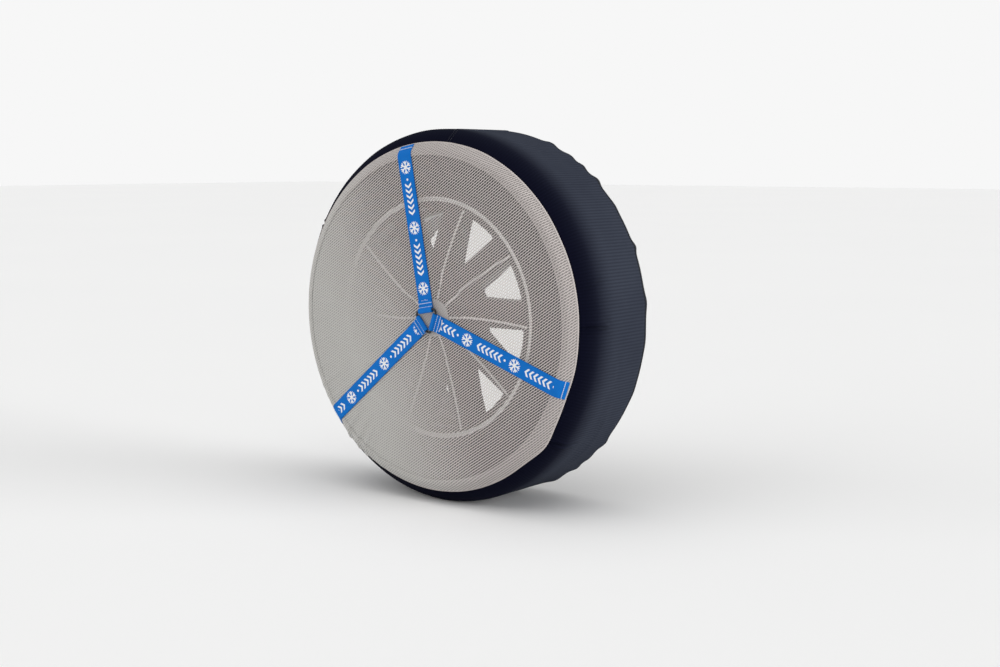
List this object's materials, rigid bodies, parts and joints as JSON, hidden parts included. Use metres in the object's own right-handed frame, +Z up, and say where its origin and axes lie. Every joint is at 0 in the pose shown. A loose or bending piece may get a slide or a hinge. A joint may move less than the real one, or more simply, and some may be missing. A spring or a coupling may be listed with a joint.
{
  "type": "snow sock on wheel",
  "caption": "Textile snow sock on a car wheel: ribbed dark tread band, pale net face with three blue straps gathered at a centre ring, elastic back edge.",
  "frame": {"origin": "Centre of the wheel, on its axle, in the middle plane between the rim flanges.", "axes": "+Y points inboard along the axle, to the car, so the net face looks along -Y; +Z is up; X is across the wheel."},
  "size_m": [0.64, 0.226, 0.64],
  "materials": {
    "alloy": "satin dark silver paint",
    "rim_alloy": "satin silver",
    "tyre": "matt black rubber",
    "steel": "drawn wire",
    "weight_zinc": "coated",
    "valve_rubber": "matt",
    "brass": "machined",
    "cap_plastic": "satin silver",
    "black_plastic": "matt",
    "band_textile": "ribbed woven",
    "binding_textile": "overlocked thread",
    "net_textile": "open knit",
    "skirt_textile": "stretch knit",
    "elastic": "braided",
    "webbing": "blue woven webbing",
    "white_thread": "sewing thread",
    "ring_black": "satin black"
  },
  "bodies": {
    "wheel": {"wheel_rim": "rim_alloy", "wheel_centre": "alloy", "tyre": "tyre", "bead_wires": "steel", "steel_belts": "steel", "centre_cap": "cap_plastic", "cap_retaining_ring": "steel", "balance_weights": "weight_zinc", "valve_stem": "valve_rubber", "valve_tube": "brass", "valve_core": "brass", "valve_spring": "steel"},
    "valve_pin": {"valve_pin": "brass"},
    "valve_cap": {"valve_cap": "black_plastic"},
    "sock": {"tread_band": "band_textile", "band_closure_seam": "band_textile", "front_net": "net_textile", "net_hem": "net_textile", "seam_binding": "binding_textile", "rear_skirt": "skirt_textile", "rear_hem": "skirt_textile", "rear_elastic": "elastic", "strap_anchor_top": "webbing", "anchor_stitches_top": "white_thread", "strap_anchor_right": "webbing", "anchor_stitches_right": "white_thread", "strap_anchor_left": "webbing", "anchor_stitches_left": "white_thread"},
    "ring": {"centre_ring": "ring_black"},
    "strap_top": {"strap_top": "webbing", "strap_top_stitches": "white_thread"},
    "strap_right": {"strap_right": "webbing", "strap_right_stitches": "white_thread"},
    "strap_left": {"strap_left": "webbing", "strap_left_stitches": "white_thread"}
  },
  "joints": [
    {"name": "sock_pull_off", "type": "slide", "parent": "wheel", "child": "sock", "axis": [0, -1, 0], "range_m": [0, 0.28], "deforming": ["rear_skirt", "rear_hem", "rear_elastic"]},
    {"name": "ring_pull", "type": "slide", "parent": "sock", "child": "ring", "axis": [0, -1, 0], "range_m": [0, 0.025], "stiffness_N_per_m": 150},
    {"name": "strap_lift_top", "type": "hinge", "parent": "sock", "child": "strap_top", "pos_m": [-0.04939, -0.1106, 0.26138], "axis": [-0.9826, 0, -0.1857], "range_deg": [0, 5.76]},
    {"name": "strap_lift_right", "type": "hinge", "parent": "sock", "child": "strap_right", "pos_m": [0.25105, -0.1106, -0.08792], "axis": [0.3305, 0, 0.9438], "range_deg": [0, 5.76]},
    {"name": "strap_lift_left", "type": "hinge", "parent": "sock", "child": "strap_left", "pos_m": [-0.20166, -0.1106, -0.17346], "axis": [0.6521, 0, -0.7581], "range_deg": [0, 5.76]},
    {"name": "valve_cap_off", "type": "slide", "parent": "wheel", "child": "valve_cap", "axis": [0.6481, -0.7526, -0.1166], "range_m": [0, 0.014]},
    {"name": "valve_pin_press", "type": "slide", "parent": "wheel", "child": "valve_pin", "axis": [-0.6481, 0.7526, 0.1166], "range_m": [0, 0.0012], "stiffness_N_per_m": 800, "springref_m": -0.0015, "deforming": ["valve_spring"]}
  ],
  "couplings": [
    {"joint": "strap_lift_top", "follows": "ring_pull", "rad_per_m": 3.9876},
    {"joint": "strap_lift_right", "follows": "ring_pull", "rad_per_m": 3.9876},
    {"joint": "strap_lift_left", "follows": "ring_pull", "rad_per_m": 3.9876}
  ]
}
